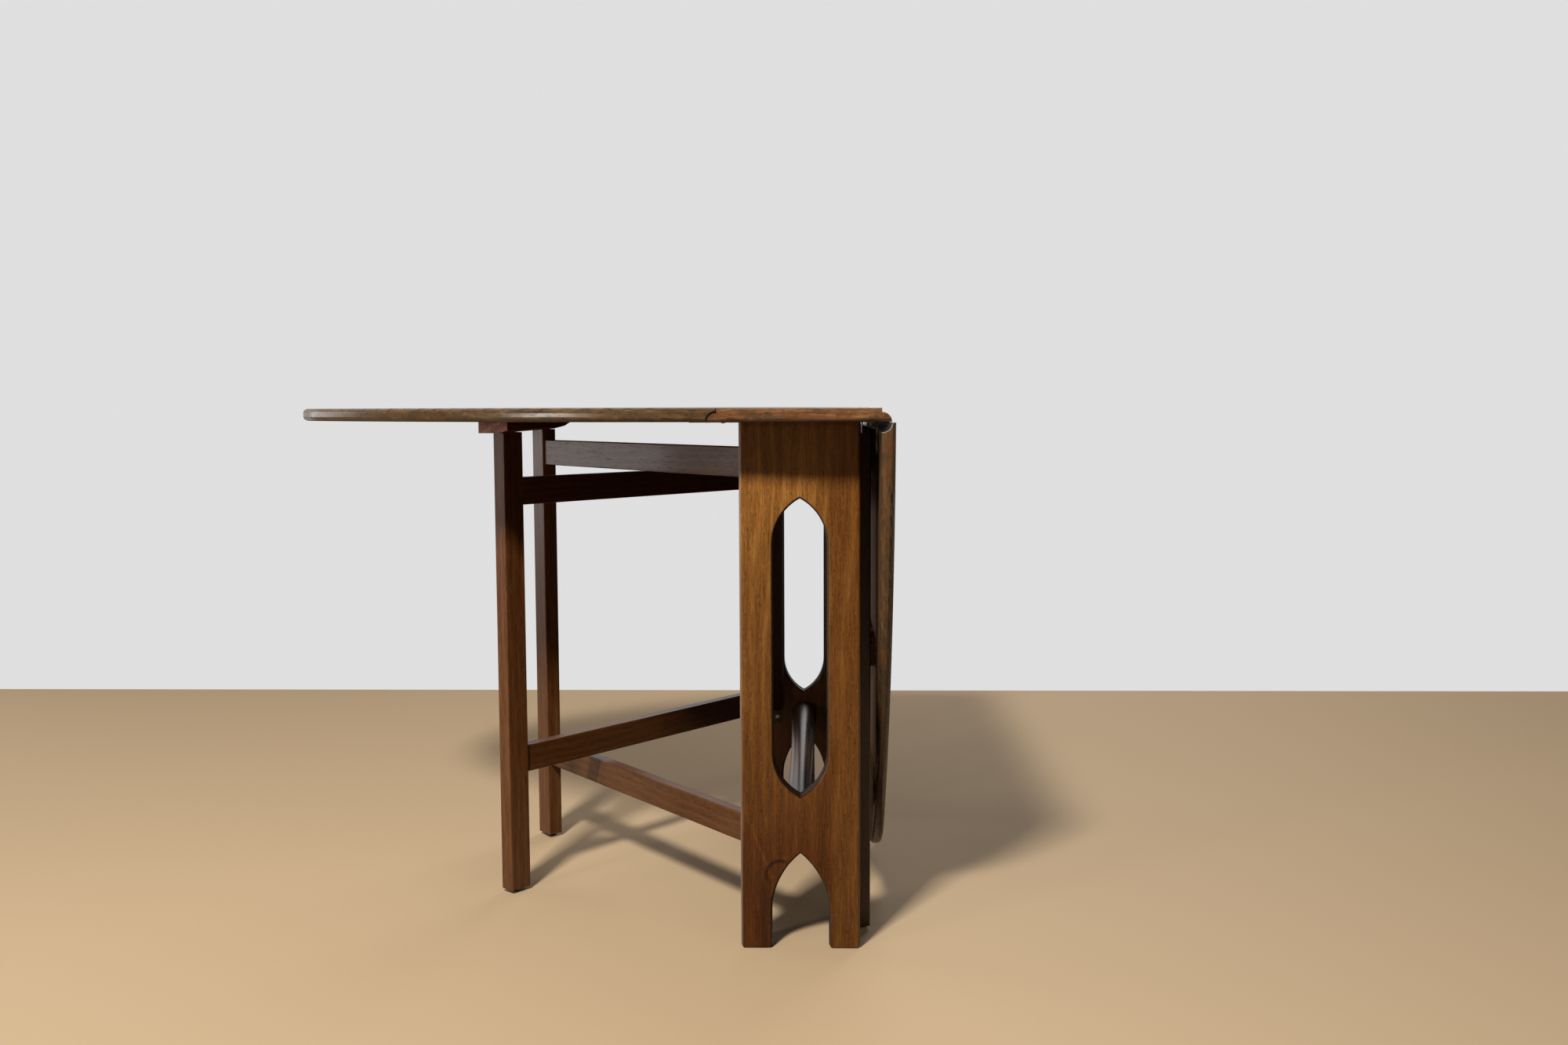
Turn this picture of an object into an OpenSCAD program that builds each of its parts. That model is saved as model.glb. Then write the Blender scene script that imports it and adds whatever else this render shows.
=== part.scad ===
// Gateleg drop-leaf table, shown with its left leaf up on crossed gates and its right leaf hanging.
// Millimetres, +Z up. The origin is on the floor, at the centre of the fixed frame.
// +X runs to the right leaf, +Y to the back. The top's long oval runs along X.

/* [Top] */
// Height of the table
table_h = 730; // [700:1:760]
// Thickness of the board and the leaves
board_t = 18; // [16:0.5:22]
// Length of the open oval top
open_len = 1550.4; // [1450:0.1:1650]
// Width of the open oval top
open_w = 870; // [840:5:920]
// Width of the fixed board between its two fillets
board_w = 210; // [205:1:225]
// Radius that rounds the rims over, above and below
rim_r = 7; // [2:0.5:7.5]
// Radius of the ovolo on the fixed board at each rule joint
ovolo_r = 12.5; // [10:0.5:13]
// Gap in the rule joint
joint_gap = 1; // [0.6:0.1:1.4]

/* [End panels] */
// Distance between the outer faces of the two end panels
frame_len = 719; // [700:1:740]
// Width of an end panel
panel_w = 161; // [156:1:166]
// Thickness of an end panel
panel_t = 26; // [22:1:30]
// Radius on the upright edges of an end panel
panel_edge_r = 4.5; // [1:0.5:6]
// Radius on the corners of the feet
foot_r = 5; // [2:0.5:8]
// Height of the lower tip of the lancet opening
lancet_low = 205; // [200:1:215]
// Distance from the board down to the upper tip of the lancet opening
lancet_drop = 97; // [87:1:150]
// Width of the lancet opening where it breaks the face
lancet_w = 80; // [70:1:90]
// Height of the pointed head of the lancet
lancet_head = 65; // [55:1:75]
// Height of the tip of the arch between the feet, where it breaks the face
arch_high = 136; // [120:1:140]
// Height at which the sides of the arch start to curve
arch_spring = 50; // [35:1:60]
// Width of the arch at the floor, where it breaks the face
arch_w = 85; // [75:1:90]
// Radius that rounds over the edges of both openings
opening_r = 4; // [2:0.5:6]

/* [Frame rails] */
// Diameter of the stretcher at its ends
stretcher_d = 46; // [40:1:50]
// Diameter of the stretcher at its waist
stretcher_waist_d = 38; // [30:1:42]
// Height of the stretcher's axis
stretcher_z = 167; // [160:1:170]
// Diameter of the stretcher's round tenons
tenon_d = 28; // [20:1:32]
// Length of the stretcher's round tenons
tenon_len = 15; // [10:1:18]
// Depth of the long rails under the fixed board
apron_h = 60; // [45:1:70]
// Thickness of the long rails
apron_t = 18; // [15:1:20]
// Distance of a long rail's inner face from the middle
apron_in = 18; // [14:1:19]
// Thickness of the cross bearers that hold the upper pivots
bearer_t = 16; // [12:0.5:16]
// Width of the cross bearers, along the table
bearer_w = 40; // [36:1:41]

/* [Gates] */
// Distance of the gate pivots from the middle, across the table
pivot_x = 58; // [57:0.5:60]
// Distance from a pivot post's axis to the panel's inner face
pivot_in = 22.5; // [22:0.5:24]
// Angle between an open gate and the frame
open_angle = 40; // [30:0.5:45]
// Angle between a closed gate and the frame
closed_angle = 2.5; // [2.4:0.05:3]
// Width of a leg or post, along the gate
leg_w = 35; // [32:0.5:36]
// Thickness of a leg or post, across the gate
leg_t = 24.5; // [22:0.5:25]
// Radius on the long edges of legs, posts and rails
stick_r = 1.5; // [0.5:0.25:3]
// Thickness of a gate rail
rail_t = 17.5; // [15:0.5:18]
// Depth of a gate rail
rail_h = 41; // [36:0.5:42]
// Underside of the lower rail in the outer gates
outer_low_z = 127.5; // [125:0.5:130]
// Distance from the board down to the upper rail in the outer gates
rail_drop = 35; // [31:0.5:37]
// Upright gap between the upper rails of the two crossing gates
upper_gap = 8.5; // [4:0.5:10]
// Upright gap between the lower rails of the two crossing gates
lower_gap = 12.5; // [8:0.5:14]
// Wood left between a rail's tenon and the pivot hole in a post
tenon_wall = 1.5; // [1:0.25:4]

/* [Battens] */
// Distance of an open leg's middle past the middle of the batten
leg_past = 4.25; // [0:0.05:6]
// Width of the batten
batten_w = 40.5; // [38:0.5:44]
// Thickness of the batten
batten_t = 16.5; // [14:0.5:17]
// Width of the ramp along the batten's inner edge
ramp_w = 11; // [6:0.5:14]
// Height of the ramp along the batten's inner edge
ramp_h = 4; // [2:0.5:6]
// Length of the taper at the batten's outer end
taper_len = 90; // [60:5:110]
// Thickness left at the tapered end
taper_t = 7; // [5:0.5:9]

/* [Hinges and pivots] */
// Distance of the outer hinges from the middle of the table
hinge_y = 280; // [250:5:300]
// Width of a hinge, along its pin
hinge_w = 38; // [32:1:44]
// Thickness of the hinge flaps
flap_t = 2; // [1.5:0.25:2.5]
// Length of the short flap on the fixed board
short_flap = 34; // [28:1:38]
// Length of the long flap on the leaf
long_flap = 46; // [40:1:52]
// Diameter of the hinge knuckles
knuckle_d = 6.4; // [5.5:0.1:7]
// Diameter of the hinge pins
hinge_pin_d = 3; // [2.5:0.1:3.5]
// Diameter of the gate pivot pins
pivot_d = 8; // [6:0.5:10]
// Thickness of the steel in the lower pivot brackets
bracket_t = 3; // [2:0.5:4]
// Width and height of the lower pivot brackets
bracket_w = 30; // [24:1:34]

/* [Glides] */
// Height of the glides under the gate legs
leg_glide_h = 5.5; // [3:0.5:7]
// Diameter of the glides under the gate legs
leg_glide_d = 24; // [16:1:24]
// Height of the glides under the end panels
panel_glide_h = 2; // [1.5:0.5:4]
// Diameter of the glides under the end panels
panel_glide_d = 18; // [14:1:20]

/* [Clearances] */
// Gap between a leg's top and the batten, and between other parts that slide
slide_gap = 0.5; // [0.4:0.1:0.7]
// Gap all round a pin that turns in its hole
run_gap = 0.06; // [0.04:0.01:0.1]
// Gap all round a glued tenon or a driven pin
glue_gap = 0.03; // [0.02:0.01:0.06]
// Gap between the cross bearers and the short hinge flaps
bearer_gap = 2; // [1:0.5:4]
// Gap between a closed leg and the post of the gate that it crosses
leg_gap = 2; // [1.6:0.1:4]
// Gap between a closed leg and the end of the batten
batten_gap = 6; // [4:0.5:12]

/* [Hidden] */
$fn = 48;
// Sides of the meshes that preview the long arcs of the top and the arcs of its mouldings and openings
oval_fn = 360;
arc_fn = 96;
eps = 1;

GATES = ["left_front", "left_back", "right_front", "right_back"];
GATE_PIECES = ["post", "leg", "upper_rail", "lower_rail", "glide"];

// Top
under_z = table_h - board_t;
hinge_x = board_w / 2;
cove_r = ovolo_r + joint_gap;
// The oval is drawn from four arcs. Their centres make right triangles with sides of 20, 21 and 29
// units, and whole hundredths keep the arcs touching to the last digit.
half_w = hundredths(open_w / 2);
oval_unit = hundredths((open_len - open_w) / 24);
end_x = 20 * oval_unit;
side_r = half_w + 21 * oval_unit;
end_r = side_r - 29 * oval_unit;
meet_angle = atan2(21, 20);

// Frame
panel_out = frame_len / 2;
panel_in = panel_out - panel_t;
panel_h = under_z - panel_glide_h;
bearer_z = under_z - bearer_t;
bearer_in = panel_in - bearer_w;
bearer_half = hinge_x - short_flap - bearer_gap;
foot_x = (panel_w + arch_w) / 4;
lancet_high = under_z - lancet_drop;

// Gates: the inner pair of rails nests between the outer pair
pivot_y = panel_in - pivot_in;
gate_reach = 2 * pivot_y - leg_w - leg_gap;
leg_top = under_z - batten_t - slide_gap;
post_top = bearer_z - slide_gap;
outer_high_z = under_z - rail_drop - rail_h;
inner_low_z = outer_low_z + rail_h + lower_gap;
inner_high_z = outer_high_z - rail_h - upper_gap;
rail_shoulder = 4;
rail_tenon = leg_w / 2 - pivot_d / 2 - run_gap - tenon_wall;
pivot_depth = 22;
// Wood left above the blind hole for an upper pivot pin, and the air above the pin
blind_wall = 2;
pin_end_gap = 1;

// Battens: an open leg stands under the batten, and a closed one passes its end
batten_in = pivot_x + gate_reach * sin(open_angle) - leg_past - batten_w / 2 - hinge_x;
batten_half = gate_reach * cos(closed_angle) - pivot_y - leg_w / 2 - batten_gap;

// Hinges
HINGES = [-hinge_y, 0, hinge_y];
knuckle_gap = 0.3;
middle_knuckle = 15;
gain_depth = 1;

function hundredths(size) = round(size * 100) / 100;
function gate_inner(gate) = gate == "left_front" || gate == "right_back";
function gate_right(gate) = gate == "right_front" || gate == "right_back";
// Left-hand gates stand open and right-hand gates are closed
function gate_angle(gate) = gate_right(gate) ? closed_angle : open_angle;
function low_z(gate) = gate_inner(gate) ? inner_low_z : outer_low_z;
function high_z(gate) = gate_inner(gate) ? inner_high_z : outer_high_z;

module wood(shade = 0) color([0.36 - shade, 0.23 - shade * 0.7, 0.15 - shade * 0.5]) children();
module brass() color([0.66, 0.52, 0.30]) children();
module steel() color([0.55, 0.56, 0.58]) children();
module plastic() color([0.12, 0.10, 0.09]) children();

// Outline of a bar that is rounded over at its far end, for turning about Z
module rim_profile(r) {
    square([r - rim_r, board_t]);
    translate([0, rim_r]) square([r, board_t - 2 * rim_r]);
    for (z = [rim_r, board_t - rim_r]) translate([r - rim_r, z]) circle(rim_r);
}

module rim_disc(r) rotate_extrude($fn = oval_fn) rim_profile(r);

// Everything beyond the line where the side arcs meet the end arc, at +X
module end_wedge(h) {
    far = open_len;
    linear_extrude(h)
        polygon([[0, 0], for (side = [1, -1]) far * [cos(meet_angle), side * sin(meet_angle)]]);
}

// Half of the oval, at +X, with its rims rounded over. It lies on the height of the underside.
module half_oval() {
    translate([0, 0, under_z]) {
        intersection() {
            translate([end_x, 0, 0]) rim_disc(end_r);
            translate([end_x, 0, -eps]) end_wedge(board_t + 2 * eps);
        }
        difference() {
            intersection() {
                translate([0, half_w - side_r, 0]) rim_disc(side_r);
                translate([0, side_r - half_w, 0]) rim_disc(side_r);
                translate([0, -half_w, -eps]) cube([open_len, open_w, board_t + 2 * eps]);
            }
            translate([end_x, 0, -eps]) end_wedge(board_t + 2 * eps);
        }
    }
}

// Edge moulding of the fixed board, drawn across the table
module board_section() {
    translate([-hinge_x, 0]) square([board_w, board_t]);
    for (side = [-1, 1])
        intersection() {
            translate([side * hinge_x, 0]) circle(ovolo_r, $fn = arc_fn);
            translate([side * hinge_x - ovolo_r, 0]) square([2 * ovolo_r, ovolo_r]);
        }
}

// Room in the underside of the fixed board for a hinge's knuckles and long flap
module hinge_gain() {
    gain_w = hinge_w + 2 * slide_gap;
    translate([hinge_x, -gain_w / 2, under_z]) {
        rotate([-90, 0, 0]) cylinder(r = knuckle_d / 2 + slide_gap, h = gain_w);
        translate([0, 0, -eps]) cube([ovolo_r + eps, gain_w, gain_depth + eps]);
    }
}

module centre_board() wood() {
    difference() {
        intersection() {
            translate([0, half_w, under_z]) rotate([90, 0, 0]) linear_extrude(open_w) board_section();
            intersection() {
                translate([0, half_w - side_r, under_z]) rim_disc(side_r);
                translate([0, side_r - half_w, under_z]) rim_disc(side_r);
            }
        }
        for (side = [0, 180], y = HINGES) rotate([0, 0, side]) translate([0, y, 0]) hinge_gain();
    }
}

// A leaf as it lies when it is up, at +X
module raised_leaf() {
    difference() {
        half_oval();
        translate([-eps, -half_w, under_z - eps])
            cube([hinge_x + joint_gap + eps, open_w, board_t + 2 * eps]);
        translate([hinge_x, half_w + eps, under_z])
            rotate([90, 0, 0]) cylinder(r = cove_r, h = open_w + 2 * eps, $fn = arc_fn);
    }
}

// The batten that the legs slide under, below a raised leaf at +X
module raised_batten() {
    section = [
        [0, 0], [batten_w, 0], [batten_w, -batten_t], [ramp_w, -batten_t], [0, ramp_h - batten_t]
    ];
    low = -batten_t - eps;
    taper = [[-eps, -taper_t], [0, -taper_t], [taper_len, -batten_t], [taper_len, low], [-eps, low]];
    difference() {
        translate([hinge_x + batten_in, batten_half, under_z])
            rotate([90, 0, 0]) linear_extrude(2 * batten_half) polygon(section);
        translate([hinge_x + batten_in - eps, -batten_half, under_z])
            rotate([90, 0, 90]) linear_extrude(batten_w + 2 * eps) polygon(taper);
    }
}

// The room for a hinge's pin, right through the hinge
module pin_bore() translate([0, -hinge_w, 0]) rotate([-90, 0, 0])
    cylinder(r = hinge_pin_d / 2 + run_gap, h = 2 * hinge_w);

module knuckle(length) rotate([-90, 0, 0]) cylinder(d = knuckle_d, h = length);

// Hinge flaps are drawn about the pin's middle: the short one runs to -X, the long one to +X
module short_flap_part() {
    clear_x = knuckle_d / 2 + slide_gap;
    difference() {
        union() {
            translate([0, -middle_knuckle / 2, 0]) knuckle(middle_knuckle);
            difference() {
                translate([-short_flap, -hinge_w / 2, -flap_t]) cube([short_flap, hinge_w, flap_t]);
                for (side = [-1, 1])
                    translate([-clear_x, side * (middle_knuckle + hinge_w) / 2 - hinge_w / 2, -flap_t - eps])
                        cube([clear_x + eps, hinge_w, flap_t + 2 * eps]);
            }
        }
        pin_bore();
    }
}

module long_flap_part() {
    clear_x = knuckle_d / 2 + slide_gap;
    outer_knuckle = (hinge_w - middle_knuckle) / 2 - knuckle_gap;
    difference() {
        union() {
            for (y = [-hinge_w / 2, hinge_w / 2 - outer_knuckle]) translate([0, y, 0]) knuckle(outer_knuckle);
            difference() {
                translate([0, -hinge_w / 2, -flap_t]) cube([long_flap, hinge_w, flap_t]);
                translate([-eps, -middle_knuckle / 2 - knuckle_gap, -flap_t - eps])
                    cube([clear_x + eps, middle_knuckle + 2 * knuckle_gap, flap_t + 2 * eps]);
            }
        }
        pin_bore();
    }
}

module at_hinges() for (y = HINGES) translate([hinge_x, y, under_z]) children();

// Turns what is drawn about a raised leaf down to where it hangs
module hang() translate([hinge_x, 0, under_z]) rotate([0, 90, 0])
    translate([-hinge_x, 0, -under_z]) children();

module hinge_pins() brass() at_hinges()
    translate([0, -hinge_w / 2, 0]) rotate([-90, 0, 0]) cylinder(d = hinge_pin_d, h = hinge_w);
module short_flaps() brass() at_hinges() short_flap_part();
module long_flaps() brass() at_hinges() long_flap_part();

// The left side is the right side turned half round
module to_left() rotate([0, 0, 180]) children();

module leaf_left() wood() to_left() raised_leaf();
module batten_left() wood(0.03) to_left() raised_batten();
module hinge_long_flaps_left() to_left() long_flaps();
module hinge_short_flaps_left() to_left() short_flaps();
module hinge_pins_left() to_left() hinge_pins();

module leaf_right() wood() hang() raised_leaf();
module batten_right() wood(0.03) hang() raised_batten();
module hinge_long_flaps_right() hang() long_flaps();
module hinge_short_flaps_right() short_flaps();
module hinge_pins_right() hinge_pins();

// Half the section of an opening, r from its middle to the wood. It widens in a quarter round
// towards both faces, which leaves the wood's edge rounded over.
module flared_section(r) {
    difference() {
        translate([0, -eps]) square([r + opening_r, panel_t + 2 * eps]);
        translate([r, opening_r]) square([opening_r + eps, panel_t - 2 * opening_r]);
        for (y = [opening_r, panel_t - opening_r]) translate([r + opening_r, y]) circle(opening_r);
    }
}

module flared_disc(r) translate([0, panel_t / 2, 0]) rotate([90, 0, 0])
    rotate_extrude($fn = arc_fn) flared_section(r);

// The pointed head of an opening: two discs whose edges cross at the tip
module pointed_head(half, head) {
    face_r = (head ^ 2 + half ^ 2) / (2 * half);
    intersection() {
        translate([half - face_r, 0, 0]) flared_disc(face_r - opening_r);
        translate([face_r - half, 0, 0]) flared_disc(face_r - opening_r);
        translate([-half - eps, -panel_t / 2 - eps, 0])
            cube([2 * half + 2 * eps, panel_t + 2 * eps, head + eps]);
    }
}

// The straight stretch between two heads, or between a head and the floor
module straight_slot(half, length) {
    r = half - opening_r;
    for (side = [0, 180])
        rotate([0, 0, side]) translate([0, -panel_t / 2, 0]) linear_extrude(length) flared_section(r);
}

module lancet() {
    half = lancet_w / 2;
    translate([0, 0, lancet_low + lancet_head]) {
        straight_slot(half, lancet_high - lancet_low - 2 * lancet_head);
        rotate([0, 180, 0]) pointed_head(half, lancet_head);
    }
    translate([0, 0, lancet_high - lancet_head]) pointed_head(half, lancet_head);
}

module foot_arch() {
    half = arch_w / 2;
    translate([0, 0, -eps]) straight_slot(half, arch_spring + eps);
    translate([0, 0, arch_spring]) pointed_head(half, arch_high - arch_spring);
}

// Plan of a stick or panel with rounded upright edges, centred
module soft_rect(w, t, r) {
    square([w - 2 * r, t], center = true);
    square([w, t - 2 * r], center = true);
    for (x = [-1, 1], y = [-1, 1]) translate([x * (w / 2 - r), y * (t / 2 - r)]) circle(r, $fn = 32);
}

// What is cut away to round a lower corner of a foot that ends at x and faces side
module foot_corner(x, side) {
    translate([x, 0, panel_glide_h]) rotate([90, 0, 0]) linear_extrude(panel_t + 2 * eps, center = true)
        difference() {
            translate([side > 0 ? -foot_r : -eps, -eps]) square([foot_r + eps, foot_r + eps]);
            translate([-side * foot_r, foot_r]) circle(foot_r);
        }
}

module end_panel() {
    difference() {
        translate([0, 0, panel_glide_h])
            linear_extrude(panel_h) soft_rect(panel_w, panel_t, panel_edge_r);
        lancet();
        foot_arch();
        for (side = [-1, 1]) {
            foot_corner(side * panel_w / 2, side);
            foot_corner(side * (arch_w / 2 - opening_r), -side);
        }
        // Blind mortise for the stretcher, in the inner face at +Y
        translate([0, panel_t / 2 - tenon_len - glue_gap, stretcher_z])
            rotate([-90, 0, 0]) cylinder(r = tenon_d / 2 + glue_gap, h = tenon_len + eps);
    }
}

module panel_front() wood() translate([0, -panel_out + panel_t / 2, 0]) end_panel();
module panel_back() wood() rotate([0, 0, 180]) translate([0, -panel_out + panel_t / 2, 0]) end_panel();

// Radius of the stretcher, from its waist at t = 0 along a parabola to its ends at t = 1
function waist_r(t) = (stretcher_waist_d + (stretcher_d - stretcher_waist_d) * t ^ 2) / 2;

// A round rail between the end panels, turned down to a tenon at each end
module stretcher() wood(0.1) {
    steps = 12;
    edge = 3;
    body = [for (i = [-steps:steps]) let (t = i / steps) [waist_r(abs(t)), t * (panel_in - edge)]];
    outline = concat(
        [[0, -panel_in - tenon_len], [tenon_d / 2, -panel_in - tenon_len], [tenon_d / 2, -panel_in]],
        [[stretcher_d / 2 - edge, -panel_in]], body, [[stretcher_d / 2 - edge, panel_in]],
        [[tenon_d / 2, panel_in], [tenon_d / 2, panel_in + tenon_len], [0, panel_in + tenon_len]]
    );
    translate([0, 0, stretcher_z]) rotate([-90, 0, 0]) rotate_extrude() polygon(outline);
}

// A long rail under the board, notched at both ends over the cross bearers
module apron() wood(0.05) {
    difference() {
        translate([apron_in, -panel_in, under_z - apron_h]) cube([apron_t, 2 * panel_in, apron_h]);
        for (side = [0, 180])
            translate([apron_in + apron_t / 2, 0, bearer_z]) rotate([0, 0, side])
                translate([-apron_t / 2 - eps, bearer_in, 0])
                    cube([apron_t + 2 * eps, bearer_w + eps, bearer_t + eps]);
    }
}

module apron_left() mirror([1, 0, 0]) apron();
module apron_right() apron();

// A cross bearer, with the holes of the two upper pivots, at the front
module bearer() wood(0.05) {
    difference() {
        translate([-bearer_half, -panel_in, bearer_z]) cube([2 * bearer_half, bearer_w, bearer_t]);
        for (x = [-pivot_x, pivot_x])
            translate([x, -pivot_y, bearer_z - eps])
                cylinder(r = pivot_d / 2 + glue_gap, h = bearer_t - blind_wall + eps);
    }
}

module bearer_front() bearer();
module bearer_back() rotate([0, 0, 180]) bearer();

// Places what is drawn about a gate's pivot: the gate runs along +X, and its outer side is +Y
module at_gate(gate) {
    angle = gate_angle(gate);
    turn = gate_right(gate) ? 180 : 0;
    rotate([0, 0, turn])
        if (gate_inner(gate)) translate([-pivot_x, pivot_y, 0]) rotate([0, 0, -90 - angle]) children();
        else translate([-pivot_x, -pivot_y, 0]) rotate([0, 0, 90 + angle]) children();
}

module at_pivots() for (gate = GATES) at_gate(gate) children();

module upper_pivot_pins() steel() {
    low = post_top - pivot_depth;
    high = under_z - blind_wall - pin_end_gap;
    at_pivots() translate([0, 0, low]) cylinder(d = pivot_d, h = high - low);
}

// An angle bracket on the panel's inner face, with the lower pivot pin standing on it
module pivot_bracket(z) {
    arm = pivot_in + leg_t / 2;
    translate([0, 0, z - slide_gap]) {
        translate([-bracket_w / 2, 0, -bracket_t]) cube([bracket_w, arm, bracket_t]);
        translate([-bracket_w / 2, 0, -bracket_w]) cube([bracket_w, bracket_t, bracket_w]);
        translate([0, pivot_in, -bracket_t])
            cylinder(d = pivot_d, h = bracket_t + slide_gap + pivot_depth);
    }
}

module lower_pivot_brackets() steel() {
    for (side = [0, 180]) rotate([0, 0, side]) {
        translate([-pivot_x, -panel_in, 0]) pivot_bracket(outer_low_z);
        translate([pivot_x, -panel_in, 0]) pivot_bracket(inner_low_z);
    }
}

module glide(d, h) cylinder(d1 = d - h, d2 = d, h = h);

module panel_glides() plastic() {
    for (x = [-foot_x, foot_x], y = [-1, 1])
        translate([x, y * (panel_out - panel_t / 2), 0]) glide(panel_glide_d, panel_glide_h);
}

module pivot_hole(z) translate([0, 0, z]) cylinder(r = pivot_d / 2 + run_gap, h = pivot_depth + 2 * eps);

// A rail's tenon standing out of x = 0 towards side, or with a gap the room for it.
// It starts a little inside what it is joined to or cut from.
module rail_tenon_block(side, gap = 0) {
    length = rail_tenon + gap + eps;
    size = [length, rail_t / 2 + 2 * gap, rail_h - 2 * rail_shoulder + 2 * gap];
    translate([side * (length / 2 - eps), 0, rail_h / 2]) cube(size, center = true);
}

// The mortises for both rails, in a post or leg whose face is at x
module mortises(gate, x, side) {
    for (z = [low_z(gate), high_z(gate)]) translate([x, 0, z]) rail_tenon_block(side, glue_gap);
}

module gate_post(gate) wood(0.06) at_gate(gate) {
    low = low_z(gate);
    difference() {
        translate([0, 0, low]) linear_extrude(post_top - low) soft_rect(leg_w, leg_t, stick_r);
        pivot_hole(low - 2 * eps);
        pivot_hole(post_top - pivot_depth);
        mortises(gate, leg_w / 2, -1);
    }
}

module gate_leg(gate) wood(0.04) at_gate(gate) {
    difference() {
        translate([gate_reach, 0, leg_glide_h])
            linear_extrude(leg_top - leg_glide_h) soft_rect(leg_w, leg_t, stick_r);
        mortises(gate, gate_reach - leg_w / 2, 1);
    }
}

module gate_rail(gate, z) wood(0.08) at_gate(gate) {
    start = leg_w / 2;
    end = gate_reach - leg_w / 2;
    translate([start, 0, z + rail_h / 2]) rotate([90, 0, 90])
        linear_extrude(end - start) soft_rect(rail_t, rail_h, stick_r);
    translate([start, 0, z]) rail_tenon_block(-1);
    translate([end, 0, z]) rail_tenon_block(1);
}

module gate_glide(gate) plastic() at_gate(gate) translate([gate_reach, 0, 0]) glide(leg_glide_d, leg_glide_h);

centre_board();
panel_front();
panel_back();
stretcher();
apron_left();
apron_right();
bearer_front();
bearer_back();
upper_pivot_pins();
lower_pivot_brackets();
panel_glides();
hinge_short_flaps_left();
hinge_short_flaps_right();
hinge_pins_left();
hinge_pins_right();
leaf_left();
batten_left();
hinge_long_flaps_left();
leaf_right();
batten_right();
hinge_long_flaps_right();
for (gate = GATES) {
    name = str("gate_", gate);
    gate_post(gate);
    gate_leg(gate);
    gate_rail(gate, high_z(gate));
    gate_rail(gate, low_z(gate));
    gate_glide(gate);
}
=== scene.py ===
import math

import bmesh
import bpy
from mathutils import Matrix, Vector


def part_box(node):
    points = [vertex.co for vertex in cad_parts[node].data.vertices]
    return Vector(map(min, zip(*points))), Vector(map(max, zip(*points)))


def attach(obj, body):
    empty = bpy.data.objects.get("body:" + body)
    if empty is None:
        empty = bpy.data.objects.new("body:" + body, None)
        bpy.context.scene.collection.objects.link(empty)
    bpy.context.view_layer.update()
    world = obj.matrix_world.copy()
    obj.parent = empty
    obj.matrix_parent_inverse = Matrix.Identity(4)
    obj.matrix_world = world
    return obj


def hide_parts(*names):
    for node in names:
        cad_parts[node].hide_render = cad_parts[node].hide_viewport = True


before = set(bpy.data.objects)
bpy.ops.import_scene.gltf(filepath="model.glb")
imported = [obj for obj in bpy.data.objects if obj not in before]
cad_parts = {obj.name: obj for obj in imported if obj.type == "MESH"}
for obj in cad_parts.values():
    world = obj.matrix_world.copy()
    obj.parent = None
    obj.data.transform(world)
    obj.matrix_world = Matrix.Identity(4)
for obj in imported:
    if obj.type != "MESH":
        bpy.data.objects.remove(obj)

bl_info = {
    "name": "Gateleg table finishes",
    "version": (1, 0, 0),
    "blender": (4, 5, 0),
    "location": "3D View > Sidebar > Table",
    "description": "Stained and lacquered wood, hardware and studio for a gateleg dining table",
    "category": "Object",
}

GATES = ("left_front", "left_back", "right_front", "right_back")

# Sizes of the part in metres, which the finishes and the small pieces follow.
# The oval has two side arcs, with their centres SIDE_SHIFT across its middle, and two end arcs, with
# their centres END_SHIFT along it. A side arc meets an end arc on the line through both centres.
HINGE_X, UNDER_Z, TOP_Z = 0.105, 0.712, 0.730
OVOLO_R, COVE_R, RIM_R = 0.0125, 0.0135, 0.007
SIDE_R, END_R = 1.03035, 0.2082
SIDE_SHIFT, END_SHIFT = 0.59535, 0.567
# The dark hook of the front panel's knot: its middle, across the panel and up it, and its radius
KNOT_X, KNOT_Z, KNOT_R = -0.027, 0.102, 0.019

# Screws in a flap: how far from the hinge pin, and how far to a side of the flap's middle
HINGE_MIDDLES = (-0.28, 0.0, 0.28)
FLAP_SCREWS = ((0.012, -0.012), (0.012, 0.012), (0.026, 0.0))
LONG_FLAP_SHIFT, FLAP_T = 0.009, 0.002
# Brackets on the front panel, their places across it and the heights of their tops. Those on the back one
# are turned about the table's middle. Two screws sit to the sides of a bracket, below its top
BRACKETS = ((-0.058, 0.127), (0.058, 0.1805))
BRACKET_SPREAD, BRACKET_T, BRACKET_DROP = 0.009, 0.003, 0.018
# Screws in the undersides of the bearers and the battens, and the pads under the panels
BEARER_SCREW_X, BEARER_SCREW_Y, BEARER_Z = 0.03, 0.3135, 0.696
BATTEN_SCREWS_Y = (-0.19, -0.065, 0.065, 0.19)
BATTEN_SCREW_SHIFT = 0.004
PANEL_PAD_R, PANEL_PAD_H = 0.009, 0.002

# How fine each part of the grain is, along the grain and across it
WANDER, BROAD, SMEAR = (1.6, 7.0), (3.0, 24.0), (5.0, 22.0)
FIBRES, FLECKS = (70.0, 900.0), (150.0, 480.0)
# How far the growth rings wander, in metres
RING_WANDER = 0.05

# Turns that lay the grain along one axis
ALONG_X = (0.0, 0.0, 0.0)
ALONG_Y = (0.0, 0.0, -math.pi / 2)
ALONG_Z = (0.0, math.pi / 2, 0.0)

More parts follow.
